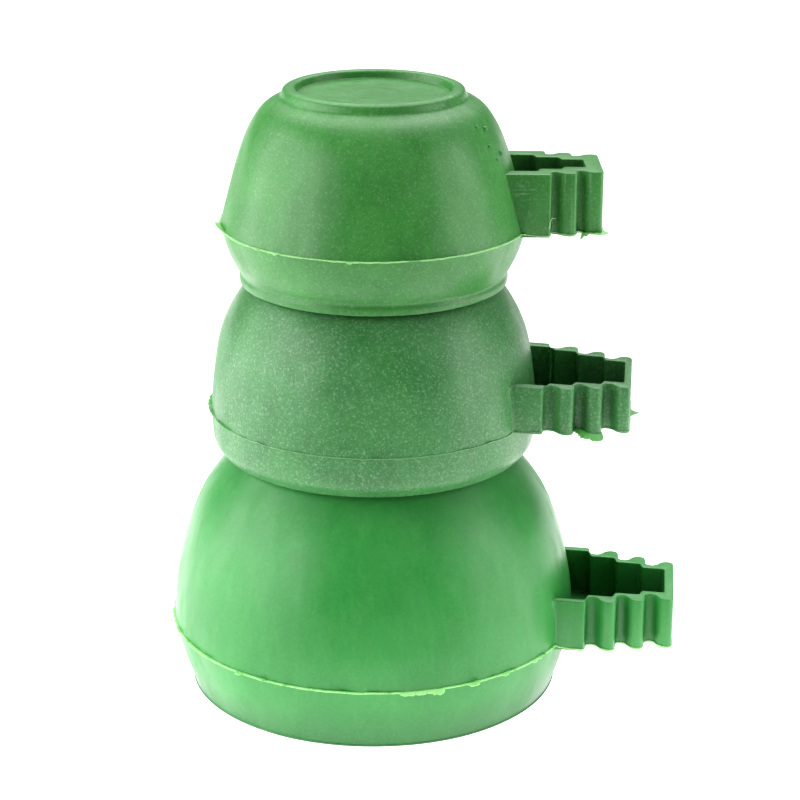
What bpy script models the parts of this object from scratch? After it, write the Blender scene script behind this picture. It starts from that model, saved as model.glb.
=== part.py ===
"""Set of three clip-on cage feeding cups, nested in a stack with their mouths down.

Each cup is one plastic moulding: a bowl with a foot ring, and beside its mouth a wedge-shaped clip
that is pushed between two cage wires. Lengths here are millimetres, and the meshes are built in metres.
Heights in a cup's own numbers are counted from its parting plane, where the bowl is widest.
"""

import math

import bpy

MM = 0.001
TURN_STEPS = 48
CURVE_STEPS = 3
SMOOTH_ANGLE = math.radians(28)
CUT_MARGIN = 2.0

# Every cup's widest point is its parting plane; the large one sets the scale of the set.
LARGE_RADIUS = 39.9
MEDIUM_RADIUS = 31.7
SMALL_RADIUS = 29.3

# Heights of the three parting planes above the surface that the stack stands on.
LARGE_PARTING = 13.1
MEDIUM_PARTING = 56.6
SMALL_PARTING = 93.4

# The set's origin is under the middle of its length, so the bowls' axis stands off to one side.
LARGE_CLIP_TIP = 59.8
BOWL_AXIS_X = (LARGE_RADIUS - LARGE_CLIP_TIP) / 2

# shoulder: (radius, height) points that the bowl's outside runs through, from the parting plane to its foot.
# skirt: the same from the parting plane down to the rim.
# foot: the ring that the bowl stands on when it is in use.
# clip: base is the height of its underside. Its lengths are counted from the bowl's axis.
# flat, ridges, pocket: (where it ends, half width) of the clip's flat root, of each scallop, of each chamber.
LARGE = {
    "name": "large_cup",
    "parting": LARGE_PARTING,
    "colour": (0.072, 0.430, 0.090),
    "roughness": 0.38,
    "shoulder": [(LARGE_RADIUS, 0), (39.3, 7.5), (37.2, 17), (33.6, 26), (26.2, 35.4), (21.2, 39.8)],
    "skirt": [(LARGE_RADIUS, 0), (38.4, -6), (36.2, -13.1)],
    "wall": 2.2,
    "rim_inner": 33.8,
    "foot": {"outer": 21.2, "inner": 18.0, "top": 42.0, "recess": 1.6, "floor": 2.2},
    "clip": {
        "base": -1.6, "height": 10.4, "web": 1.3, "root": 34.0,
        "flat": (42.8, 13.9), "ridges": [(48.6, 13.2), (54.1, 11.3), (LARGE_CLIP_TIP, 9.6)],
        "groove": 2.1, "lean": 1.0,
        "pocket": [(42.3, 12.0), (47.6, 9.2), (52.8, 7.0), (57.9, 5.5)],
    },
}
MEDIUM = {
    "name": "medium_cup",
    "parting": MEDIUM_PARTING,
    "colour": (0.075, 0.300, 0.092),
    "roughness": 0.46,
    "shoulder": [(MEDIUM_RADIUS, 0), (31.1, 7), (29.6, 15.5), (26.2, 22.4), (21.8, 27.0), (17.2, 29.7)],
    "skirt": [(MEDIUM_RADIUS, 0), (31.5, -4), (31.0, -6.4), (29.2, -8.6)],
    "wall": 2.1,
    "rim_inner": 27.2,
    "foot": {"outer": 17.2, "inner": 14.2, "top": 31.6, "recess": 1.5, "floor": 2.1},
    "clip": {
        "base": -0.6, "height": 9.2, "web": 1.3, "root": 25.5,
        "flat": (33.6, 14.1), "ridges": [(39.3, 13.4), (44.6, 11.5), (50.0, 9.6)],
        "groove": 1.8, "lean": 1.0,
        "pocket": [(39.0, 10.2), (44.4, 8.2), (48.8, 6.3)],
    },
}
SMALL = {
    "name": "small_cup",
    "parting": SMALL_PARTING,
    "colour": (0.068, 0.345, 0.082),
    "roughness": 0.42,
    "shoulder": [(SMALL_RADIUS, 0), (28.0, 5), (25.8, 13), (23.6, 18.6), (20.9, 22.4), (17.4, 24.4)],
    "skirt": [(SMALL_RADIUS, 0), (28.3, -5), (25.7, -11.3)],
    "wall": 1.9,
    "rim_inner": 23.8,
    "foot": {"outer": 17.4, "inner": 14.5, "top": 26.1, "recess": 1.5, "floor": 1.9},
    "clip": {
        "base": -0.7, "height": 12.1, "web": 1.3, "root": 22.0,
        "flat": (33.1, 9.8), "ridges": [(38.0, 8.6), (43.0, 7.4)],
        "groove": 1.3, "lean": 1.25,
        "pocket": [(30.3, 6.4), (35.0, 4.5), (39.6, 2.9)],
    },
}

# One scallop from its start to its end: (share of its length, share of the groove's depth).
# It starts with the groove that seats a wire and ends with a rounded ridge.
SCALLOP_GROOVE = [(0.03, 0.8), (0.16, 0.98), (0.3, 1.0), (0.42, 0.7), (0.52, 0.3)]
SCALLOP_RIDGE = [(0.66, 0.08), (0.82, 0.0), (0.97, 0.05)]


def clear_scene():
    for obj in list(bpy.data.objects):
        bpy.data.objects.remove(obj, do_unlink=True)


def collection_named(name):
    made = bpy.data.collections.new(name)
    bpy.context.scene.collection.children.link(made)
    return made


def plastic(name, colour, roughness):
    material = bpy.data.materials.new(name)
    material.use_nodes = True
    shader = material.node_tree.nodes["Principled BSDF"]
    shader.inputs["Base Color"].default_value = (*colour, 1.0)
    shader.inputs["Roughness"].default_value = roughness
    shader.inputs["Metallic"].default_value = 0.0
    return material


def between(before, start, end, after, t):
    """The Catmull-Rom value at share t of the way from start to end."""
    pull = end - before
    bend = 2 * before - 5 * start + 4 * end - after
    twist = 3 * start - before - 3 * end + after
    return start + 0.5 * (pull * t + bend * t**2 + twist * t**3)


def smooth_through(points, steps=CURVE_STEPS):
    """A Catmull-Rom curve through the points, with each span cut into the given number of steps."""
    first = [2 * a - b for a, b in zip(points[0], points[1])]
    last = [2 * a - b for a, b in zip(points[-1], points[-2])]
    padded = [first, *points, last]
    curve = []
    for spans in zip(padded, padded[1:], padded[2:], padded[3:]):
        for step in range(steps):
            t = step / steps
            curve.append(tuple(between(*values, t) for values in zip(*spans)))
    return [*curve, tuple(points[-1])]


def moved_inwards(curve, distance):
    """The curve moved to its right-hand side, which is the inside of a bowl outline that runs down."""
    moved = []
    for i, (radius, height) in enumerate(curve):
        before = curve[max(i - 1, 0)]
        after = curve[min(i + 1, len(curve) - 1)]
        along = (after[0] - before[0], after[1] - before[1])
        length = math.hypot(*along)
        moved.append((radius + along[1] / length * distance, height - along[0] / length * distance))
    return moved


def outer_wall(cup):
    """The bowl's outside, from the edge of its foot down to its rim."""
    shoulder = smooth_through(cup["shoulder"])
    skirt = smooth_through(cup["skirt"])
    return [*reversed(shoulder), *skirt[1:]]


def outer_profile(cup):
    """Half section of the bowl as a solid block, down its outer side from the middle of the foot."""
    foot = cup["foot"]
    floor = foot["top"] - foot["recess"]
    corner = 0.35
    rim = cup["skirt"][-1][1]
    ring = [
        (0.0, floor),
        (foot["inner"] - corner, floor),
        (foot["inner"], floor + corner),
        (foot["inner"], foot["top"] - corner),
        (foot["inner"] + corner, foot["top"]),
        (foot["outer"] - corner, foot["top"]),
        (foot["outer"], foot["top"] - corner),
    ]
    wall = outer_wall(cup)
    rim_edge = (wall[-1][0] - corner, rim)
    wall[-1] = (wall[-1][0], rim + corner)
    return [*ring, *wall, rim_edge, (0.0, rim)]


def inner_profile(cup):
    """Half section of the space in the bowl, running on below the rim so that it cuts cleanly."""
    foot = cup["foot"]
    ceiling = foot["top"] - foot["recess"] - foot["floor"]
    rim = cup["skirt"][-1][1]
    lip = 1.6
    wall = moved_inwards(outer_wall(cup), cup["wall"])
    wall = [p for p in wall[::2] if rim + lip < p[1] < ceiling - 0.8]
    lip_point = (cup["rim_inner"] + 0.4, rim + lip / 2)
    below = rim - CUT_MARGIN
    edge = [lip_point, (cup["rim_inner"], rim), (cup["rim_inner"], below), (0.0, below)]
    return [(0.0, ceiling), (wall[0][0] - 1.6, ceiling), *wall, *edge]


def turned(name, profile, collection):
    """The profile turned about the vertical axis into a closed solid."""
    mesh = bpy.data.meshes.new(name)
    vertices = [(radius * MM, 0.0, height * MM) for radius, height in profile]
    mesh.from_pydata(vertices, [(i, i + 1) for i in range(len(vertices) - 1)], [])
    obj = bpy.data.objects.new(name, mesh)
    collection.objects.link(obj)
    screw = obj.modifiers.new("turn", "SCREW")
    screw.steps = TURN_STEPS
    screw.render_steps = TURN_STEPS
    screw.use_merge_vertices = True
    screw.merge_threshold = 0.00001
    screw.use_smooth_shade = True
    return obj


def extruded(name, outline, low, high, collection):
    """The flat outline made into a solid between two heights."""
    curve = bpy.data.curves.new(name, "CURVE")
    curve.dimensions = "2D"
    curve.fill_mode = "BOTH"
    curve.extrude = (high - low) / 2 * MM
    spline = curve.splines.new("POLY")
    spline.points.add(len(outline) - 1)
    for point, (x, y) in zip(spline.points, outline):
        point.co = (x * MM, y * MM, 0.0, 1.0)
    spline.use_cyclic_u = True
    drawn = bpy.data.objects.new(name + "_outline", curve)
    drawn.location.z = (high + low) / 2 * MM
    collection.objects.link(drawn)
    bpy.context.view_layer.update()
    mesh = bpy.data.meshes.new_from_object(drawn.evaluated_get(bpy.context.evaluated_depsgraph_get()))
    obj = bpy.data.objects.new(name, mesh)
    obj.matrix_world = drawn.matrix_world
    collection.objects.link(obj)
    weld = obj.modifiers.new("weld caps", "WELD")
    weld.merge_threshold = 0.000001
    bpy.data.objects.remove(drawn, do_unlink=True)
    return obj


def both_sides(edge):
    """The outline that has this edge at +Y and its mirror image at -Y."""
    return [*edge, *((x, -y) for x, y in reversed(edge))]


def clip_outline(clip):
    """Plan of the clip: a flat root, then scallops that seat a wire each and narrow towards the tip."""
    start, half = clip["flat"]
    corner = 0.3
    edge = [(clip["root"], half), (start - corner, half), (start, half - corner)]
    for end, crest in clip["ridges"]:
        for along, depth in SCALLOP_GROOVE + SCALLOP_RIDGE:
            edge.append((start + (end - start) * along ** clip["lean"], crest - clip["groove"] * depth))
        edge.append((end, crest - 2 * corner))
        start = end
    return both_sides(edge)


def pocket_outline(clip):
    """Plan of the pocket in the clip: one chamber after another, each narrower than the one before."""
    start = clip["root"] - 1.0
    edge = []
    for end, half in clip["pocket"]:
        edge += [(start, half), (end, half)]
        start = end
    return both_sides(edge)


def boolean(obj, operation, tool):
    modifier = obj.modifiers.new(f"{operation} {tool.name}".lower(), "BOOLEAN")
    modifier.operation = operation
    modifier.solver = "EXACT"
    modifier.object = tool


def make_helper(obj):
    obj.hide_render = True
    obj.display_type = "WIRE"


def make_cup(cup, pieces, cutters):
    name = cup["name"]
    clip = cup["clip"]
    body = turned(name, outer_profile(cup), pieces)
    space = turned(name + "_space", inner_profile(cup), cutters)
    top = clip["base"] + clip["height"]
    floor = clip["base"] + clip["web"]
    block = extruded(name + "_clip", clip_outline(clip), clip["base"], top, cutters)
    pocket = extruded(name + "_pocket", pocket_outline(clip), floor, top + CUT_MARGIN, cutters)
    boolean(block, "DIFFERENCE", pocket)
    boolean(body, "UNION", block)
    boolean(body, "DIFFERENCE", space)
    for helper in (space, block, pocket):
        helper.parent = body
        make_helper(helper)
    body.data.materials.append(plastic(name + "_plastic", cup["colour"], cup["roughness"]))
    body.location = (BOWL_AXIS_X * MM, 0.0, cup["parting"] * MM)
    edges = body.modifiers.new("smooth by angle", "EDGE_SPLIT")
    edges.split_angle = SMOOTH_ANGLE
    return body


def main():
    clear_scene()
    pieces = collection_named("cage_feeding_cups")
    cutters = collection_named("cutters")
    for cup in (LARGE, MEDIUM, SMALL):
        make_cup(cup, pieces, cutters)


main()
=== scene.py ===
"""Looks of the set of three cage feeding cups: mouldings, flash, plastics, light and camera.

Each cup is rebuilt over its CAD node as a worn, slightly rough injection moulding. Its bowl is turned
from a profile, its clip is a lofted block with a stepped pocket, and a ragged seam of flash runs round
its parting line. Lengths are millimetres up to the point where a mesh is made. Heights are counted from
the cup's parting plane, where the bowl is widest, and lengths and angles in plan from the bowl's axis,
with the clip at angle 0. The meanings of the tables' entries:

look: deep and light are the pigment's two shades; fine, coarse and dark are the strengths of the threads,
    pale flecks and dark flecks; grain is the surface's coarseness; cloud is the clouds' scale;
    scuff is the middle and the reach of a patch of scratches
shoulder, skirt: (radius, height) points that the bowl's outside runs through, up and down from its widest
foot: the ring that the bowl stands on when it is in use
clip: base is the height of its underside; flat and ridges are (end, half width) of its root and scallops,
    pocket is the same for the pocket's chambers, and shift moves the pocket sideways;
    droop and turn are the angles at which the clip hangs and stands off from the X axis
seam: how far the flash stands out from the bowl and from the clip, its thickness and its edge's colour,
    which is paler partly for the thin plastic and partly as a painted highlight
tears: where the flash is wider, as an angle or a place, with half its length, its reach and its lift
curls, blisters: threads of flash on the clip, and (angle, height, radius) of drops on the bowl
"""

import math

import bmesh
import bpy
import numpy as np
from mathutils import Matrix, Vector, noise


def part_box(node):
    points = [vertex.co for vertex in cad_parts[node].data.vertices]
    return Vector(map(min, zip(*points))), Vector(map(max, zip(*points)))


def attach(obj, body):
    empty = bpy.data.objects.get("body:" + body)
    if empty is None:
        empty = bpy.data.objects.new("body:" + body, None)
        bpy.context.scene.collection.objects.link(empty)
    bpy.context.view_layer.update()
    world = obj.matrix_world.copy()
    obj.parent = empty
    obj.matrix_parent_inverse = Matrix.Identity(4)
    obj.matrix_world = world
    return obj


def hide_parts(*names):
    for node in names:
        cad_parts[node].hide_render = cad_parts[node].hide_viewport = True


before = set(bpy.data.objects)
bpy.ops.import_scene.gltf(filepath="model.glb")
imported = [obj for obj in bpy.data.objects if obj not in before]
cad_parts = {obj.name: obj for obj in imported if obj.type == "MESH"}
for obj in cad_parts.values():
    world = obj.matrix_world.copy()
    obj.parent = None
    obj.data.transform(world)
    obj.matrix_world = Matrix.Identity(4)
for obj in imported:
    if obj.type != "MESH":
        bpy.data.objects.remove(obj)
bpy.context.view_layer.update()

MM = 0.001
TURN_STEPS = 240
CURVE_STEPS = 12
SHARP_ANGLE = math.radians(38)
CLIP_CORNER = 0.75
CLIP_EDGE = 0.2
SEAM_STEP = 0.25
SEAM_BOWL_STEPS = 400
WAVE_LENGTH = 13.0
RIPPLE_RADII = (4.9, 7.9)

LARGE = {
    "name": "large_cup",
    "body": "large",
    "slot": "large_plastic",
    "look": {
        "deep": (0.022, 0.225, 0.036), "light": (0.040, 0.310, 0.056), "roughness": 0.36,
        "fine": 0.12, "coarse": 0.10, "dark": 0.35, "grain": 0.25, "cloud": 0.05,
    },
    "shoulder": [(39.9, 0), (39.3, 7.5), (37.2, 17), (33.6, 26), (26.2, 35.4), (21.2, 39.8)],
    "skirt": [(39.9, 0), (38.4, -6), (36.45, -12.2), (36.6, -12.5), (36.3, -13.1)],
    "wall": 2.2,
    "rim_inner": 33.8,
    "foot": {"outer": 21.2, "inner": 18.0, "top": 42.0, "recess": 1.6, "floor": 2.2},
    "clip": {
        "base": -1.3, "height": 10.4, "web": 1.3, "turn": 0.0, "droop": 1.9, "fillet": 1.5,
        "flat": (42.8, 13.9), "ridges": [(48.6, 13.2), (54.1, 11.3), (59.8, 9.6)],
        "groove": 2.3, "lean": 1.0,
        "pocket_start": 33.0, "pocket": [(42.9, 12.3), (48.2, 9.8), (53.4, 7.7), (58.3, 5.8)],
        "shift": -0.2,
    },
    "seam": {"reach": 0.46, "clip_reach": 0.12, "thickness": 0.30, "colour": (0.36, 0.82, 0.28)},
    "tears": [
        {"at": -141, "half": 6.0, "reach": 0.25, "lift": 0.15, "ragged": 0.8, "blunt": 2},
        {"at": -123, "half": 0.9, "reach": 0.50, "lift": -0.20, "ragged": 0.2, "blunt": 2},
        {"at": -115, "half": 0.8, "reach": 0.45, "lift": 0.10, "ragged": 0.2, "blunt": 2},
        {"at": -93, "half": 4.8, "reach": 0.15, "lift": 0.10, "ragged": 0.2, "blunt": 2},
        {"at": -70.5, "half": 4.6, "reach": 0.20, "lift": -0.55, "ragged": 0.2, "blunt": 5},
        {"at": -66, "half": 1.2, "reach": 0.30, "lift": -0.25, "ragged": 0.1, "blunt": 6},
        {"at": -56, "half": 1.3, "reach": 0.55, "lift": -0.35, "ragged": 0.2, "blunt": 2},
        {"at": -54.5, "half": 0.5, "reach": 0.60, "lift": 0.45, "ragged": 0.1, "blunt": 2},
        {"at": -45, "half": 0.8, "reach": 0.50, "lift": -0.15, "ragged": 0.2, "blunt": 2},
        {"at": -32, "half": 1.6, "reach": 0.30, "lift": -0.15, "ragged": 1.0, "blunt": 3},
    ],
}
MEDIUM = {
    "name": "medium_cup",
    "body": "medium",
    "slot": "medium_plastic",
    "look": {
        "deep": (0.028, 0.155, 0.036), "light": (0.054, 0.240, 0.062), "roughness": 0.36,
        "fine": 1.0, "coarse": 0.75, "dark": 0.30, "grain": 1.0, "cloud": 0.09,
    },
    "shoulder": [(31.7, 0), (31.1, 7), (29.6, 15.5), (26.2, 22.4), (21.8, 27.0), (17.2, 29.7)],
    "skirt": [(31.7, 0), (31.5, -4), (31.0, -6.4), (29.2, -8.6)],
    "wall": 2.1,
    "rim_inner": 27.2,
    "foot": {"outer": 17.2, "inner": 14.2, "top": 31.6, "recess": 1.5, "floor": 2.1},
    "clip": {
        "base": -0.2, "height": 9.2, "web": 1.3, "turn": 0.0, "droop": 2.6, "fillet": 1.2,
        "flat": (33.6, 14.2), "ridges": [(39.3, 13.5), (44.6, 11.5), (50.0, 9.6)],
        "groove": 1.9, "lean": 1.0,
        "pocket_start": 24.5, "pocket": [(34.4, 11.9), (39.2, 10.4), (44.6, 8.4), (49.0, 6.4)],
        "shift": 0.0,
    },
    "seam": {"reach": 0.18, "clip_reach": 0.10, "thickness": 0.16, "colour": (0.13, 0.34, 0.13)},
    "tears": [
        {"at": 180, "half": 15.0, "reach": 0.55, "lift": 0.30, "ragged": 0.25, "blunt": 2},
        {"at": -148, "half": 5.0, "reach": 0.30, "lift": 0.12, "ragged": 0.5, "blunt": 2},
        {"at": (50.0, 2.0), "half": 2.3, "reach": 1.60, "lift": 0.0, "ragged": 0.0, "blunt": 1},
        {"at": (41.0, -10.8), "half": 4.4, "reach": 1.10, "lift": -1.25, "ragged": 0.2, "blunt": 3},
    ],
}
SMALL = {
    "name": "small_cup",
    "body": "small",
    "slot": "small_plastic",
    "look": {
        "deep": (0.028, 0.178, 0.028), "light": (0.048, 0.262, 0.042), "roughness": 0.37,
        "fine": 0.5, "coarse": 0.35, "dark": 0.25, "grain": 0.6, "cloud": 0.07,
        "scuff": ((28.9, -6.3, 8.3), 2.8),
    },
    "shoulder": [(29.3, 0), (28.0, 5), (25.8, 13), (23.6, 18.6), (20.9, 22.4), (17.4, 24.4)],
    "skirt": [
        (29.3, 0), (27.9, -4.6), (26.4, -7.8), (25.7, -8.9), (25.55, -9.5), (25.8, -10.1), (25.7, -11.3),
    ],
    "wall": 1.9,
    "rim_inner": 23.8,
    "foot": {"outer": 17.4, "inner": 14.8, "top": 26.1, "recess": 1.5, "floor": 1.9},
    "clip": {
        "base": -0.7, "height": 12.1, "web": 1.3, "turn": 6.75, "droop": 0.5, "fillet": 0.5,
        "flat": (33.1, 9.8), "ridges": [(38.0, 8.6), (43.0, 7.4)],
        "groove": 1.4, "lean": 1.25,
        "pocket_start": 21.0, "pocket": [(30.9, 6.6), (35.6, 4.7), (40.2, 3.0)],
        "shift": 0.0,
    },
    "seam": {"reach": 0.38, "clip_reach": 0.10, "thickness": 0.26, "colour": (0.30, 0.62, 0.24)},
    "tears": [
        {"at": -163, "half": 3.8, "reach": 0.75, "lift": 0.75, "ragged": 0.2, "blunt": 2},
        {"at": -129, "half": 0.6, "reach": 0.50, "lift": 0.10, "ragged": 0.4, "blunt": 2},
        {"at": -121, "half": 0.6, "reach": 0.35, "lift": -0.20, "ragged": 0.4, "blunt": 2},
        {"at": -119.5, "half": 0.4, "reach": 0.45, "lift": 0.30, "ragged": 0.4, "blunt": 2},
        {"at": -134, "half": 7.0, "reach": 0.20, "lift": 0.05, "ragged": 0.9, "blunt": 2},
        {"at": -106, "half": 5.0, "reach": 0.15, "lift": 0.15, "ragged": 1.0, "blunt": 2},
        {"at": -98, "half": 2.0, "reach": 0.20, "lift": 0.10, "ragged": 0.9, "blunt": 2},
        {"at": -92, "half": 0.6, "reach": 0.20, "lift": -0.15, "ragged": 0.3, "blunt": 2},
        {"at": -89, "half": 0.5, "reach": 0.40, "lift": 0.15, "ragged": 0.3, "blunt": 2},
        {"at": (43.8, -1.5), "half": 9.0, "reach": 0.65, "lift": 0.0, "ragged": 0.2, "blunt": 1},
        {"at": (43.6, -2.2), "half": 1.6, "reach": 0.55, "lift": 0.0, "ragged": 0.2, "blunt": 2},
        {"at": (39.9, -2.4), "half": 1.1, "reach": 0.75, "lift": -1.0, "ragged": 0.6, "blunt": 2},
        {"at": (37.6, -3.9), "half": 0.7, "reach": 0.45, "lift": -0.3, "ragged": 0.5, "blunt": 2},
    ],
    "curls": [
        [
            (32.9, -9.6, 1.0), (32.9, -10.0, 1.8), (33.0, -10.2, 2.6), (33.4, -10.3, 3.2),
            (34.0, -10.2, 3.1),
        ],
    ],
    "blisters": [
        (-25.1, 20.8, 0.45), (-18.9, 20.1, 0.55), (-21.9, 17.2, 0.4), (-12.9, 15.2, 0.5),
        (-18.6, 14.5, 0.4),
    ],
}

# One scallop from its start to its end: (share of its length, share of the groove's depth).
# It starts with the groove that seats a wire and ends with a rounded ridge.
SCALLOP_GROOVE = [
    (0.03, 0.70), (0.07, 0.88), (0.16, 1.0), (0.30, 1.0), (0.40, 0.86), (0.48, 0.52), (0.56, 0.22),
]
SCALLOP_RIDGE = [(0.65, 0.07), (0.75, 0.0), (0.85, 0.0), (0.93, 0.07), (0.98, 0.2)]


# ---------------------------------------------------------------- outlines


def smooth_through(points, steps=CURVE_STEPS):
    """A Catmull-Rom curve through the points, with each span cut into the given number of steps."""
    points = np.array(points, float)
    padded = np.vstack([2 * points[0] - points[1], points, 2 * points[-1] - points[-2]])
    curve = []
    for before, start, end, after in zip(padded, padded[1:], padded[2:], padded[3:]):
        pull = end - before
        bend = 2 * before - 5 * start + 4 * end - after
        twist = 3 * start - before - 3 * end + after
        for t in np.arange(steps) / steps:
            curve.append(start + 0.5 * (pull * t + bend * t**2 + twist * t**3))
    return np.array([*curve, points[-1]])


def evenly(points, spacing):
    """The polyline cut into equal steps of about the spacing, from its first point to its last."""
    points = np.array(points, float)
    along = np.concatenate([[0], np.cumsum(np.linalg.norm(np.diff(points, axis=0), axis=1))])
    places = np.linspace(0, along[-1], max(2, round(along[-1] / spacing)) + 1)
    return np.stack([np.interp(places, along, points[:, i]) for i in range(points.shape[1])], axis=1)


def worn(points, reach, spacing=0.1):
    """The open polyline with its corners worn round over the reach. Its two ends stay in place."""
    even = evenly(points, spacing)
    side = max(1, round(reach / spacing))
    weights = np.hanning(2 * side + 3)[1:-1]
    before = 2 * even[0] - even[side:0:-1]
    after = 2 * even[-1] - even[-2 : -side - 2 : -1]
    padded = np.vstack([before, even, after])
    columns = [np.convolve(padded[:, i], weights / weights.sum(), "valid") for i in range(2)]
    return np.stack(columns, axis=1)


def thinned(points, tolerance):
    """The polyline without the points that lie within the tolerance of the line through those kept."""
    keep = np.zeros(len(points), bool)
    keep[[0, -1]] = True
    spans = [(0, len(points) - 1)]
    while spans:
        first, last = spans.pop()
        if last - first < 2:
            continue
        chord = points[last] - points[first]
        offset = points[first + 1 : last] - points[first]
        away = np.abs(chord[0] * offset[:, 1] - chord[1] * offset[:, 0]) / np.hypot(*chord)
        worst = int(away.argmax())
        if away[worst] > tolerance:
            middle = first + 1 + worst
            keep[middle] = True
            spans += [(first, middle), (middle, last)]
    return points[keep]


def moved_sideways(curve, distance):
    """The curve moved to the right-hand side of its own direction."""
    along = np.gradient(curve, axis=0)
    along /= np.linalg.norm(along, axis=1)[:, None]
    return curve + distance * np.stack([along[:, 1], -along[:, 0]], axis=1)


def outer_wall(cup):
    """The bowl's outside as (radius, height), from the edge of its foot down to its rim."""
    shoulder = smooth_through(cup["shoulder"])
    skirt = smooth_through(cup["skirt"])
    return np.vstack([shoulder[::-1], skirt[1:]])


def bowl_profile(cup):
    """Half section of the hollow bowl: from the foot's middle, down outside, round the rim, up inside."""
    foot = cup["foot"]
    top = foot["top"]
    inner = foot["inner"]
    outer = foot["outer"]
    floor = top - foot["recess"]
    ceiling = floor - foot["floor"]
    rim = cup["skirt"][-1][1]
    draft = 0.25
    lip = 1.6
    corner = 0.8
    outside = outer_wall(cup)
    inside = moved_sideways(outside, cup["wall"])
    inside = inside[(inside[:, 1] > rim + lip) & (inside[:, 1] < ceiling - corner)]
    ripples = [(0, floor)]
    side, crest = 0.3, 0.07
    for radius in RIPPLE_RADII:
        ripples += [(radius - side, floor), (radius, floor + crest), (radius + side, floor)]
    recess = [*ripples, (inner - draft, floor), (inner, top - 0.25), (inner + 0.4, top)]
    ring = [(outer - 1.0, top), (outer - 0.3, top - 0.35), (outer, top - 1.0), (outer + 0.1, top - 1.5)]
    mouth = [(cup["rim_inner"], rim), (cup["rim_inner"] + 0.4, rim + lip / 2)]
    dome = [(inside[0][0] - 2 * corner, ceiling), (0, ceiling)]
    outside = outside[outside[:, 0] > outer + 1.1]
    fillet = [(outer + 0.45, outside[0][1] + 0.3)]
    corners = np.vstack([recess, ring, fillet, outside, mouth, inside[::-1], dome])
    return thinned(worn(corners, reach=0.45), tolerance=0.006)


def bowl_radius_at(cup, height):
    wall = outer_wall(cup)[::-1]
    return float(np.interp(height, wall[:, 1], wall[:, 0]))


def clip_side(clip):
    """Plan of the clip's +Y side: a flat root, then scallops that narrow towards the tip."""
    start, half = clip["flat"]
    root, step, notch = 2.5, 0.1, 0.4
    edge = [(start - root, half), (start, half)]
    for end, crest in clip["ridges"]:
        for along, depth in SCALLOP_GROOVE + SCALLOP_RIDGE:
            edge.append((start + (end - start) * along ** clip["lean"], crest - clip["groove"] * depth))
        edge.append((end + step, crest - notch * clip["groove"]))
        start = end
    return edge


def mirrored(edge):
    """The outline that has this edge at +Y and then its mirror image at -Y, run backwards."""
    edge = np.array(edge, float)
    return np.vstack([edge, edge[::-1] * (1, -1)])


def fillet_arc(bowl_radius, clip, inset, steps=10):
    """The hollow corner between bowl and clip at +Y, from inside the wall to the clip's flat side."""
    radius = clip["fillet"]
    bite = 0.06
    reach = bowl_radius + radius - bite
    centre_y = clip["flat"][1] + radius
    centre_x = math.sqrt(reach**2 - centre_y**2)
    start = math.atan2(-centre_y, -centre_x)
    angles = np.linspace(start, -math.pi / 2, steps)
    arc = np.stack([np.cos(angles), np.sin(angles)], axis=1)
    return (centre_x, centre_y) + (radius + inset) * arc


def clip_edge(cup, height, inset):
    """The open plan of the clip at a height, from the bowl's wall at +Y round the tip to -Y."""
    clip = cup["clip"]
    outside = thinned(worn(mirrored(clip_side(clip)), reach=CLIP_CORNER), tolerance=0.005)
    outside = moved_sideways(outside, inset)
    fillet = fillet_arc(bowl_radius_at(cup, height), clip, inset)
    return np.vstack([fillet, outside, (fillet * (1, -1))[::-1]])


def clip_loop(cup, height, inset):
    """Closed plan of the clip at a height, with a root arc buried in the bowl's wall."""
    edge = clip_edge(cup, height, inset)
    buried = bowl_radius_at(cup, height) - cup["wall"] / 2
    margin, steps = 0.5, 15
    spread = math.atan2(edge[0][1] - margin, edge[0][0])
    angles = np.linspace(-spread, spread, steps)
    root = np.stack([buried * np.cos(angles), buried * np.sin(angles)], axis=1)
    return np.vstack([root, edge])


def pocket_loop(clip, outset):
    """Closed plan of the pocket in the clip: chambers that narrow towards the tip."""
    start = clip["pocket_start"]
    slant = 0.25
    edge = []
    for end, half in clip["pocket"]:
        edge += [(start + slant, half), (end - slant, half)]
        start = end
    loop = thinned(worn(mirrored(edge), reach=CLIP_CORNER), tolerance=0.005)
    return moved_sideways(loop, -outset) + (0, clip["shift"])


def hung(points, cup):
    """The clip's points where the clip really is: drooping from the wall, and turned about the axis."""
    clip = cup["clip"]
    points = np.array(points, float)
    slope = math.tan(math.radians(clip["droop"]))
    drop = (points[:, 0] - cup["shoulder"][0][0]) * slope
    turn = math.radians(clip["turn"])
    x = points[:, 0] * math.cos(turn) - points[:, 1] * math.sin(turn)
    y = points[:, 0] * math.sin(turn) + points[:, 1] * math.cos(turn)
    return np.stack([x, y, points[:, 2] - drop], axis=1)


def seam_line(cup):
    """The parting line as a closed row of (x, y, height): round the clip's underside, then the bowl."""
    clip = cup["clip"]
    edge = clip_edge(cup, clip["base"], 0.0)
    along = np.linalg.norm(edge - edge[0], axis=1)
    back = np.linalg.norm(edge - edge[-1], axis=1)
    descent, above_base = 2.5, 0.3
    lowered = np.clip(np.minimum(along, back) / descent, 0.0, 1.0)
    under = hung(np.column_stack([edge, lowered * (clip["base"] + above_base)]), cup)
    radius = cup["shoulder"][0][0]
    start = math.atan2(under[-1][1], under[-1][0])
    end = math.atan2(under[0][1], under[0][0]) - 2 * math.pi
    angles = np.linspace(start, end, SEAM_BOWL_STEPS)[1:-1]
    bowl = np.stack([radius * np.cos(angles), radius * np.sin(angles), 0 * angles], axis=1)
    line = np.vstack([under, bowl, under[:1]])
    return evenly(line, SEAM_STEP)[:-1]


# ---------------------------------------------------------------- meshes


def mesh_from(name, points, faces):
    mesh = bpy.data.meshes.new(name)
    mesh.from_pydata([tuple(float(value) * MM for value in point) for point in points], [], faces)
    mesh.validate()
    return mesh


def object_from(name, mesh):
    obj = bpy.data.objects.new(name, mesh)
    bpy.context.scene.collection.objects.link(obj)
    return obj


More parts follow.
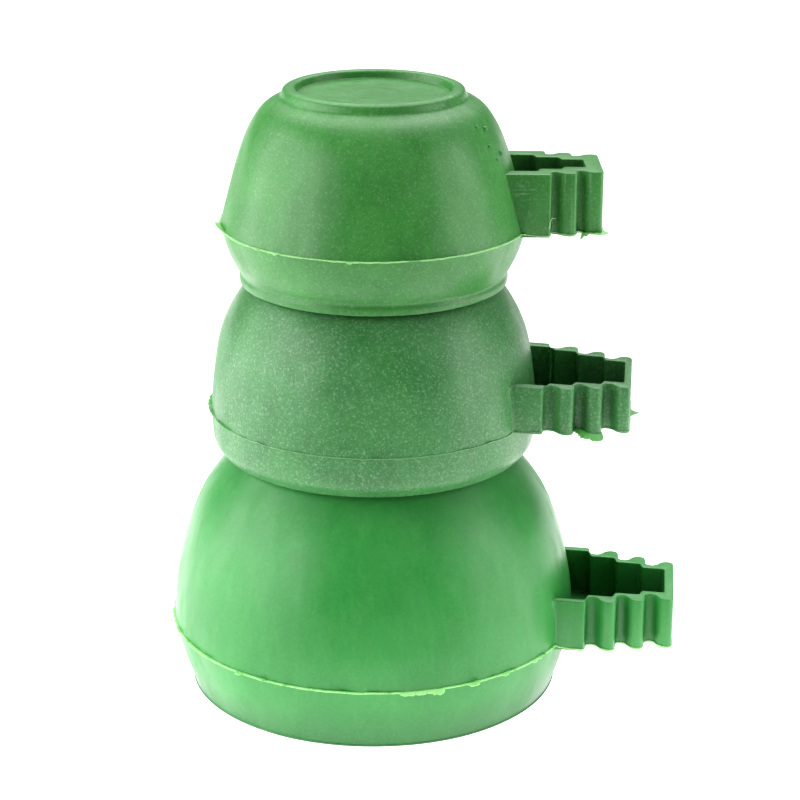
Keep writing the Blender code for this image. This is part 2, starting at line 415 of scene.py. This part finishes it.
def turned(name, profile, unevenness):
    """The profile turned about the vertical axis, where its two ends lie. unevenness waves the wall."""
    calm_radius = 10
    points = [(0, 0, profile[0][1])]
    ring = len(profile) - 2
    for step in range(TURN_STEPS):
        angle = 2 * math.pi * step / TURN_STEPS
        x, y = math.cos(angle), math.sin(angle)
        for radius, height in profile[1:-1]:
            wave = noise.noise(Vector((radius * x, radius * y, height)) / WAVE_LENGTH)
            moved = radius + unevenness * wave * min(1.0, radius / calm_radius)
            points.append((moved * x, moved * y, height))
    points.append((0, 0, profile[-1][1]))
    last = len(points) - 1
    faces = []
    for step in range(TURN_STEPS):
        here = 1 + step * ring
        there = 1 + (step + 1) % TURN_STEPS * ring
        faces.append((0, here, there))
        faces += [(here + i, here + i + 1, there + i + 1, there + i) for i in range(ring - 1)]
        faces.append((here + ring - 1, last, there + ring - 1))
    return mesh_from(name, points, faces)


def lofted(name, layers):
    """A closed solid through the layers, each a height and a closed outline of as many points."""
    count = len(layers[0][1])
    points = [(x, y, height) for height, outline in layers for x, y in outline]
    faces = [tuple(range(count))]
    for layer in range(len(layers) - 1):
        low = layer * count
        for i in range(count):
            after = (i + 1) % count
            faces.append((low + i, low + count + i, low + count + after, low + after))
    top = (len(layers) - 1) * count
    faces.append(tuple(range(top + count - 1, top - 1, -1)))
    return mesh_from(name, points, faces)


def facing_out(mesh):
    shape = bmesh.new()
    shape.from_mesh(mesh)
    bmesh.ops.recalc_face_normals(shape, faces=shape.faces)
    shape.to_mesh(mesh)
    shape.free()


def combined(base, operation, tool_mesh):
    """Applies a Boolean of the tool's mesh to the object and removes the tool."""
    tool = object_from("tool", tool_mesh)
    modifier = base.modifiers.new("cut", "BOOLEAN")
    modifier.operation = operation
    modifier.solver = "EXACT"
    modifier.object = tool
    applied = bpy.data.meshes.new_from_object(base.evaluated_get(bpy.context.evaluated_depsgraph_get()))
    base.modifiers.clear()
    base.data = applied
    bpy.data.objects.remove(tool, do_unlink=True)


def clip_block(cup):
    """The clip with its rounded edges and its open pocket, reaching into the bowl's wall."""
    clip = cup["clip"]
    base = clip["base"]
    top = base + clip["height"]
    edge = CLIP_EDGE
    worn_edge = [(0.0, edge), (0.1 * edge, 0.6 * edge), (0.4 * edge, 0.2 * edge), (edge, 0.0)]
    sides = [(base + rise * 0.5, inset * 0.5) for rise, inset in worn_edge]
    sides += [(top - rise, inset) for rise, inset in reversed(worn_edge)]
    block = object_from("clip", lofted("clip", [(z, clip_loop(cup, z, inset)) for z, inset in sides]))
    facing_out(block.data)
    floor = base + clip["web"]
    hollow = [(floor + rise, -inset) for rise, inset in worn_edge]
    hollow += [(top - rise, inset) for rise, inset in worn_edge[::-1]]
    hollow.append((top + 2.0, edge))
    pocket = lofted("pocket", [(z, pocket_loop(clip, outset)) for z, outset in hollow])
    facing_out(pocket)
    combined(block, "DIFFERENCE", pocket)
    mesh = block.data
    bpy.data.objects.remove(block, do_unlink=True)
    points = np.empty(len(mesh.vertices) * 3)
    mesh.vertices.foreach_get("co", points)
    mesh.vertices.foreach_set("co", (hung(points.reshape(-1, 3) / MM, cup) * MM).ravel())
    return mesh


def finished(obj, cup, material, place):
    """Smooth-shaded, coloured, standing at its place and riding with the cup."""
    obj.data.polygons.foreach_set("use_smooth", [True] * len(obj.data.polygons))
    obj.data.set_sharp_from_angle(angle=SHARP_ANGLE)
    obj.data.materials.clear()
    obj.data.materials.append(material)
    obj.location = place
    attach(obj, cup["body"])


def cup_shell(cup, material, place):
    """The bowl and its clip as one moulding, standing for the CAD cup."""
    shell = object_from(cup["name"] + "_shell", turned(cup["name"], bowl_profile(cup), unevenness=0.09))
    facing_out(shell.data)
    combined(shell, "UNION", clip_block(cup))
    finished(shell, cup, material, place)
    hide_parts(cup["name"])


def noise_along(line, frequency):
    """Fractal noise at each of the line's points."""
    return np.array([noise.fractal(Vector(point) * frequency, 1.0, 2.0, 3) for point in line])


def cup_flash(cup, material, place):
    """The ragged skin of plastic that squeezed out between the mould halves, as a closed ribbon."""
    seam = cup["seam"]
    line = seam_line(cup)
    count = len(line)
    along = np.roll(line, -1, axis=0)[:, :2] - np.roll(line, 1, axis=0)[:, :2]
    along /= np.linalg.norm(along, axis=1)[:, None]
    outward = np.stack([-along[:, 1], along[:, 0]], axis=1)
    places = np.arange(count) * SEAM_STEP
    length = count * SEAM_STEP
    radius = cup["shoulder"][0][0]
    near_bowl, narrowest, buried = 0.6, 0.04, 0.45
    on_bowl = np.hypot(line[:, 0], line[:, 1]) < radius + near_bowl
    waves = noise_along(line, 0.35)
    fine = noise_along(line, 1.6)
    reach = np.where(on_bowl, seam["reach"], seam["clip_reach"]) * (1 + 0.7 * waves + 0.35 * fine)
    lift = 0.30 * waves + 0.10 * fine
    for tear in cup["tears"]:
        spot = tear["at"]
        if not isinstance(spot, tuple):
            spot = (radius * math.cos(math.radians(spot)), radius * math.sin(math.radians(spot)))
        nearest = np.hypot(line[:, 0] - spot[0], line[:, 1] - spot[1]).argmin()
        away = np.abs(places - places[nearest])
        away = np.minimum(away, length - away) / tear["half"]
        share = np.clip((1 - away) * tear["blunt"], 0, 1)
        share = share * share * (3 - 2 * share)
        torn = np.clip(1 - tear["ragged"] * (0.45 + 1.4 * fine), 0, 1.4)
        reach = reach + tear["reach"] * share * torn
        lift = lift + tear["lift"] * share * torn
    reach = np.clip(reach, narrowest, None)
    thick = seam["thickness"] / 2
    upper = [(1.0, 0.3 * thick), (0.8, 0.8 * thick), (0.3, 0.9 * thick), (0.0, thick)]
    section = [(share, -up) for share, up in reversed(upper)] + upper
    points = []
    for share, up in section:
        out = np.where(share > 0, share * reach, -buried)
        flat = line[:, :2] + outward * out[:, None]
        points.append(np.column_stack([flat, line[:, 2] + up + share * lift]))
    rows = len(section)
    faces = []
    for row in range(rows):
        low = row * count
        high = (row + 1) % rows * count
        steps = [(i, (i + 1) % count) for i in range(count)]
        faces += [(low + here, low + there, high + there, high + here) for here, there in steps]
    flash = object_from(cup["name"] + "_flash", mesh_from("flash", np.vstack(points), faces))
    facing_out(flash.data)
    finished(flash, cup, material, place)


def cup_curls(cup, material, place):
    """Fine curled threads of flash that hang on the clip, as tubes that thin out towards their ends."""
    points = []
    faces = []
    sides = 6
    thickest = 0.15
    for curl in cup["curls"]:
        path = hung(smooth_through(curl, steps=4), cup)
        first = len(points)
        along = np.gradient(path, axis=0)
        for step, (centre, heading) in enumerate(zip(path, along)):
            radius = thickest * math.sqrt(1.05 - step / (len(path) - 1))
            across = Vector(heading).to_track_quat("Z", "Y").to_matrix()
            for side in range(sides):
                angle = 2 * math.pi * side / sides
                rim = Vector((math.cos(angle), math.sin(angle), 0)) * radius
                points.append(Vector(centre) + across @ rim)
        for low in range(first, len(points) - sides, sides):
            after = [(low + side, low + (side + 1) % sides) for side in range(sides)]
            faces += [(a, b, b + sides, a + sides) for a, b in after]
        faces.append(tuple(range(first, first + sides)))
        faces.append(tuple(range(len(points) - sides, len(points))))
    curls = object_from(cup["name"] + "_curls", mesh_from("curls", points, faces))
    facing_out(curls.data)
    finished(curls, cup, material, place)


def cup_blisters(cup, material, place):
    """Small raised drops that were left on the moulding, as balls set into the bowl's wall."""
    shape = bmesh.new()
    sunk = 0.15
    for angle, height, size in cup["blisters"]:
        radius = bowl_radius_at(cup, height) - sunk * size
        spot = Matrix.Rotation(math.radians(angle), 3, "Z") @ Vector((radius, 0, height))
        place_in_wall = Matrix.Translation(spot * MM)
        bmesh.ops.create_icosphere(shape, subdivisions=3, radius=size * MM, matrix=place_in_wall)
    mesh = bpy.data.meshes.new("blisters")
    shape.to_mesh(mesh)
    shape.free()
    finished(object_from(cup["name"] + "_blisters", mesh), cup, material, place)


# ---------------------------------------------------------------- materials

PALE_FLECK = (0.30, 0.52, 0.30, 1.0)
DARK_FLECK = (0.01, 0.03, 0.01, 1.0)
SCUFFED = (0.33, 0.55, 0.33, 1.0)
# Paler green for convex edges.
PALE_EDGE_GREEN = (0.16, 0.48, 0.17, 1.0)
# Painted shade: near-black colour for the pockets and hollows.
PAINTED_HOLLOW_SHADE = (0.004, 0.012, 0.004, 1.0)
WHITE = (1.0, 1.0, 1.0, 1.0)


def node(tree, kind, inputs, **settings):
    """A new node with its settings. Each input is set to a value or joined to a node's output."""
    made = tree.nodes.new(kind)
    for name, value in settings.items():
        setattr(made, name, value)
    for socket, value in inputs.items():
        if isinstance(value, bpy.types.NodeSocket):
            tree.links.new(value, made.inputs[socket])
        else:
            made.inputs[socket].default_value = value
    return made


def maths(tree, operation, first, second, clamped=False):
    inputs = {0: first, 1: second}
    return node(tree, "ShaderNodeMath", inputs, operation=operation, use_clamp=clamped).outputs[0]


def between(tree, value, low, high, to_low=0.0, to_high=1.0):
    """The value eased from one range into another."""
    ends = {"Value": value, "From Min": low, "From Max": high, "To Min": to_low, "To Max": to_high}
    return node(tree, "ShaderNodeMapRange", ends, interpolation_type="SMOOTHSTEP").outputs[0]


def blend(tree, share, first, second):
    inputs = {0: share, 6: first, 7: second}
    return node(tree, "ShaderNodeMix", inputs, data_type="RGBA").outputs[2]


def noise_at(tree, place, scale, detail=3.0, roughness=0.55):
    inputs = {"Vector": place, "Scale": scale, "Detail": detail, "Roughness": roughness}
    return node(tree, "ShaderNodeTexNoise", inputs).outputs[0]


def specks(tree, place, scale, share, size):
    """Round spots of many sizes: in the given share of the cells, up to the given size of a cell."""
    cells = node(tree, "ShaderNodeTexVoronoi", {"Vector": place, "Scale": scale})
    chance = node(tree, "ShaderNodeSeparateColor", {0: cells.outputs["Color"]}).outputs[0]
    above = maths(tree, "SUBTRACT", chance, 1.0 - share)
    radius = maths(tree, "MULTIPLY", above, size / share)
    depth = maths(tree, "SUBTRACT", radius, cells.outputs["Distance"])
    crispness = 9.0
    return maths(tree, "MULTIPLY", depth, crispness, clamped=True)


def millimetres(tree, stretch=(1.0, 1.0, 1.0)):
    """The place on the piece in millimetres, stretched along its axes."""
    place = node(tree, "ShaderNodeTexCoord", {}).outputs["Object"]
    scale = tuple(value / MM for value in stretch)
    return node(tree, "ShaderNodeVectorMath", {0: place, 1: scale}, operation="MULTIPLY").outputs[0]


def new_material(name):
    material = bpy.data.materials.new(name)
    material.use_nodes = True
    return material, material.node_tree, material.node_tree.nodes["Principled BSDF"]


def moulded_plastic(name, look):
    """Satin polyethylene: cloudy pigment, streaks, flecks, scuffs, painted shade in hollows, orange peel
    and grain.
    """
    material, tree, shader = new_material(name)
    place = millimetres(tree)
    wobble_inputs = {"Vector": place, "Scale": 0.9, "Detail": 2.0}
    wobble = node(tree, "ShaderNodeTexNoise", wobble_inputs).outputs["Color"]
    bent = node(tree, "ShaderNodeVectorMath", {0: wobble, 1: place}, operation="ADD").outputs[0]

    clouds = between(tree, noise_at(tree, place, look["cloud"], detail=4.0), 0.32, 0.68)
    streaks = between(tree, noise_at(tree, millimetres(tree, (1.0, 1.0, 0.12)), 0.55), 0.4, 0.75)
    mottle = between(tree, noise_at(tree, place, 1.4, detail=5.0, roughness=0.75), 0.36, 0.66)
    share = maths(tree, "MULTIPLY", clouds, 0.55)
    share = maths(tree, "ADD", share, maths(tree, "MULTIPLY", streaks, 0.25))
    mottle = maths(tree, "MULTIPLY", mottle, 0.2 + 0.35 * look["grain"])
    share = maths(tree, "ADD", share, mottle, clamped=True)
    colour = blend(tree, share, (*look["deep"], 1.0), (*look["light"], 1.0))

    threads = noise_at(tree, bent, 2.3, detail=3.0, roughness=0.7)
    fine = between(tree, threads, 0.50, 0.68, 0.0, 0.42 * look["fine"])
    coarse = maths(tree, "MULTIPLY", specks(tree, bent, 1.3, 0.22, 0.22), 0.50 * look["coarse"])
    dark = maths(tree, "MULTIPLY", specks(tree, bent, 0.35, 0.05, 0.12), look["dark"])
    colour = blend(tree, fine, colour, PALE_FLECK)
    colour = blend(tree, coarse, colour, PALE_FLECK)
    colour = blend(tree, dark, colour, DARK_FLECK)
    if "scuff" in look:
        centre, reach = look["scuff"]
        away = node(tree, "ShaderNodeVectorMath", {0: place, 1: centre}, operation="DISTANCE")
        near = between(tree, away.outputs["Value"], reach, 0.4 * reach)
        lines = noise_at(tree, millimetres(tree, (0.25, 0.25, 2.2)), 1.2, detail=3.0)
        scraped = maths(tree, "MULTIPLY", near, between(tree, lines, 0.54, 0.64))
        colour = blend(tree, maths(tree, "MULTIPLY", scraped, 0.42), colour, SCUFFED)
    # Convex edges are made paler in colour.
    convexity = node(tree, "ShaderNodeNewGeometry", {}).outputs["Pointiness"]
    colour = blend(tree, between(tree, convexity, 0.52, 0.62, 0.0, 0.35), colour, PALE_EDGE_GREEN)
    # Painted shade: by ambient occlusion, the colour darkens in the pockets and hollows and where parts
    # meet.
    openness = node(tree, "ShaderNodeAmbientOcclusion", {"Distance": 20.0 * MM}, samples=4)
    painted_shade = maths(tree, "MULTIPLY", between(tree, openness.outputs["AO"], 0.55, 0.15), 0.8)
    colour = blend(tree, painted_shade, colour, PAINTED_HOLLOW_SHADE)

    smears = noise_at(tree, millimetres(tree, (1.0, 1.0, 0.4)), 0.16, detail=5.0)
    smears = between(tree, smears, 0.35, 0.7)
    roughness = between(tree, smears, 0.0, 1.0, look["roughness"] - 0.05, look["roughness"] + 0.10)

    peel = noise_at(tree, place, 0.8, detail=2.0)
    grain = noise_at(tree, place, 4.5, detail=3.0, roughness=0.7)
    raised = maths(tree, "MULTIPLY", grain, 0.35 * look["grain"])
    height = maths(tree, "ADD", maths(tree, "MULTIPLY", peel, 0.35), raised)
    height = maths(tree, "ADD", height, maths(tree, "MULTIPLY", coarse, 0.25))
    bump = node(tree, "ShaderNodeBump", {"Height": height, "Strength": 0.35, "Distance": 0.1 * MM})

    inputs = {"Base Color": colour, "Roughness": roughness, "Normal": bump.outputs[0]}
    for socket, value in inputs.items():
        tree.links.new(value, shader.inputs[socket])
    shader.inputs["Specular IOR Level"].default_value = 0.42
    shader.inputs["Subsurface Weight"].default_value = 0.08
    shader.inputs["Subsurface Radius"].default_value = (0.4, 1.0, 0.4)
    shader.inputs["Subsurface Scale"].default_value = 1.2 * MM
    return material


def flash_plastic(name, look, lit_edge_colour):
    """The same plastic, so thin that it is paler and lets light through. Its pale edge colour is also
    partly a painted highlight.
    """
    material, tree, shader = new_material(name)
    place = millimetres(tree)
    share = between(tree, noise_at(tree, place, 0.35, detail=4.0), 0.25, 0.50)
    deep = tuple(1.1 * value + 0.01 for value in look["light"])
    # The paler edge colour is partly the thin plastic and partly a painted highlight.
    colour = blend(tree, share, (*deep, 1.0), (*lit_edge_colour, 1.0))
    tree.links.new(colour, shader.inputs["Base Color"])
    height = noise_at(tree, place, 3.0)
    bump = node(tree, "ShaderNodeBump", {"Height": height, "Strength": 0.5, "Distance": 0.1 * MM})
    tree.links.new(bump.outputs[0], shader.inputs["Normal"])
    shader.inputs["Roughness"].default_value = 0.45
    shader.inputs["Subsurface Weight"].default_value = 0.3
    shader.inputs["Subsurface Radius"].default_value = (0.4, 1.0, 0.3)
    shader.inputs["Subsurface Scale"].default_value = 1.0 * MM
    return material


# ---------------------------------------------------------------- stage, light and camera


def stage_floor():
    """A white table that glows, most under the stack and least in front of it.

    To the camera it is at least nearly white everywhere, so only a faint shadow shows on it.
    """
    size = 6.0
    corners = [(x * size / MM, y * size / MM, 0) for x, y in ((-1, -1), (1, -1), (1, 1), (-1, 1))]
    floor = object_from("floor", mesh_from("floor", corners, [(0, 1, 2, 3)]))
    material, tree, shader = new_material("white_table")
    place = millimetres(tree)
    mottle = between(tree, noise_at(tree, place, 0.02), 0.3, 0.7, 0.30, 0.34)
    grey = node(tree, "ShaderNodeCombineColor", {0: mottle, 1: mottle, 2: mottle}).outputs[0]
    tree.links.new(grey, shader.inputs["Base Color"])
    shader.inputs["Emission Color"].default_value = WHITE
    depth = node(tree, "ShaderNodeSeparateXYZ", {0: place}).outputs[1]
    near = between(tree, depth, -180.0, -50.0, 0.05, 2.0)
    far = between(tree, depth, 60.0, 200.0, 0.0, 1.0)
    seen = node(tree, "ShaderNodeLightPath", {}).outputs["Is Camera Ray"]
    glow = maths(tree, "SUBTRACT", near, far)
    glow = maths(tree, "MAXIMUM", glow, maths(tree, "MULTIPLY", seen, 0.95))
    tree.links.new(glow, shader.inputs["Emission Strength"])
    shader.inputs["Roughness"].default_value = 0.7
    floor.data.materials.append(material)


def softbox(name, target, direction, distance, size, power):
    """A rectangular area light that stands off from the target and faces it."""
    light = bpy.data.lights.new(name, "AREA")
    light.shape = "RECTANGLE"
    light.size, light.size_y = size
    light.energy = power
    lamp = bpy.data.objects.new(name, light)
    bpy.context.scene.collection.objects.link(lamp)
    away = Vector(direction).normalized()
    lamp.location = target + away * distance
    lamp.rotation_euler = away.to_track_quat("Z", "Y").to_euler()


def surroundings(front, back, above):
    """A light tent: dim in front, brighter behind and above, and white as a backdrop."""
    world = bpy.data.worlds.new("studio")
    world.use_nodes = True
    tree = world.node_tree
    direction = node(tree, "ShaderNodeTexCoord", {}).outputs["Generated"]
    parts = node(tree, "ShaderNodeSeparateXYZ", {0: direction})
    strength = between(tree, parts.outputs[1], -0.6, 0.7, front, back)
    lamp = {0: direction, 1: (0.0, 0.40, 0.92)}
    overhead = node(tree, "ShaderNodeVectorMath", lamp, operation="DOT_PRODUCT").outputs["Value"]
    strength = maths(tree, "ADD", strength, between(tree, overhead, 0.62, 1.0, 0.0, above))
    seen = node(tree, "ShaderNodeLightPath", {}).outputs["Is Camera Ray"]
    strength = maths(tree, "MAXIMUM", strength, maths(tree, "MULTIPLY", seen, 1.1))
    background = tree.nodes["Background"]
    background.inputs["Color"].default_value = WHITE
    tree.links.new(strength, background.inputs["Strength"])
    bpy.context.scene.world = world


def camera(axis_x):
    """Looks down on the stack a little from the clips' side of the front, from about half a metre."""
    distance, height = 0.450, 0.2128
    turn, pitch, yaw, roll = (math.radians(angle) for angle in (6.5, 19.08, 0.655, 0.225))
    level = Vector((math.sin(yaw), math.cos(yaw), 0))
    forward = level * math.cos(pitch) - Vector((0, 0, math.sin(pitch)))
    right = Vector((math.cos(yaw), -math.sin(yaw), 0))
    up = right.cross(forward)
    tilted_right = right * math.cos(roll) + up * math.sin(roll)
    tilted_up = up * math.cos(roll) - right * math.sin(roll)
    axes = Matrix((tilted_right, tilted_up, -forward)).transposed()
    around = Matrix.Rotation(turn, 3, "Z")
    lens = bpy.data.cameras.new("camera")
    lens.lens = 109.3
    lens.sensor_width = 36.0
    view = bpy.data.objects.new("camera", lens)
    bpy.context.scene.collection.objects.link(view)
    place = around @ Vector((0, -distance, height)) + Vector((axis_x, 0, 0))
    view.matrix_world = Matrix.Translation(place) @ (around @ axes).to_4x4()
    bpy.context.scene.camera = view


def main():
    lowest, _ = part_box("large_cup")
    axis_x = lowest.x + LARGE["shoulder"][0][0] * MM
    for cup in (LARGE, MEDIUM, SMALL):
        lowest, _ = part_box(cup["name"])
        place = Vector((axis_x, 0, lowest.z - cup["skirt"][-1][1] * MM))
        plastic = moulded_plastic(cup["name"] + "_plastic", cup["look"])
        cup_shell(cup, plastic, place)
        if "blisters" in cup:
            cup_blisters(cup, plastic, place)
        thin_plastic = flash_plastic(cup["name"] + "_flash_plastic", cup["look"], cup["seam"]["colour"])
        cup_flash(cup, thin_plastic, place)
        if "curls" in cup:
            cup_curls(cup, thin_plastic, place)
    stage_floor()
    target = Vector((axis_x, 0, 0.06))
    softbox("left_softbox", target, (-0.945, -0.32, 0.12), distance=0.6, size=(0.9, 0.8), power=9.5)
    softbox("right_softbox", target, (0.985, -0.14, 0.15), distance=0.7, size=(0.45, 0.7), power=3.2)
    surroundings(front=0.02, back=0.20, above=3.9)
    camera(axis_x)
    bpy.context.scene.view_settings.view_transform = "Standard"


main()
